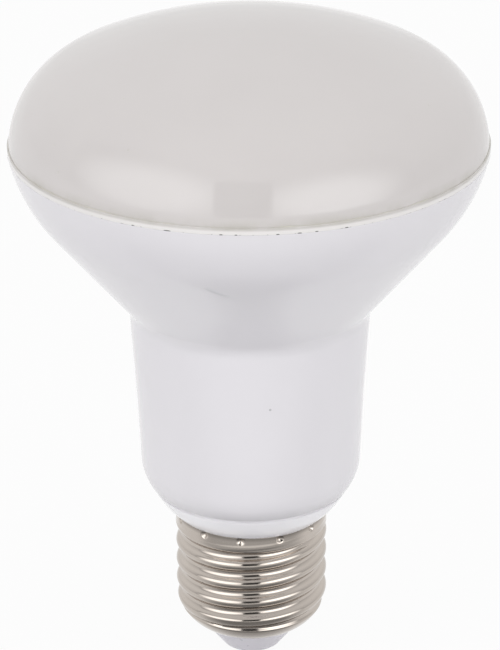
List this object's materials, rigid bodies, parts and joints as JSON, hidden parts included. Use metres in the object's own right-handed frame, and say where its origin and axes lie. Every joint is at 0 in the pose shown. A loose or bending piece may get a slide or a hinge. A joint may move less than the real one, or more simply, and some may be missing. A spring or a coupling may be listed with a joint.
{
  "type": "reflector bulb",
  "caption": "Reflector bulb: a low opal dome over a white flared housing, with a grooved collar and a nickel-plated Edison screw cap, for directed light from a ceiling fitting.",
  "frame": {"origin": "centre of the end face of the centre contact, on the lamp's axis", "axes": "+Z along the lamp's axis, from the cap to the top of the diffuser; -Y is the side that the picture shows"},
  "size_m": [0.08, 0.08, 0.115],
  "materials": {
    "diffuser": "satin opal",
    "housing": "gloss white",
    "screw_shell": "bright nickel plate",
    "insulator": "smooth white",
    "centre_contact": "nickel plate"
  },
  "bodies": {
    "root": {"diffuser": "diffuser", "housing": "housing", "screw_shell": "screw_shell", "insulator": "insulator", "centre_contact": "centre_contact"}
  },
  "joints": []
}
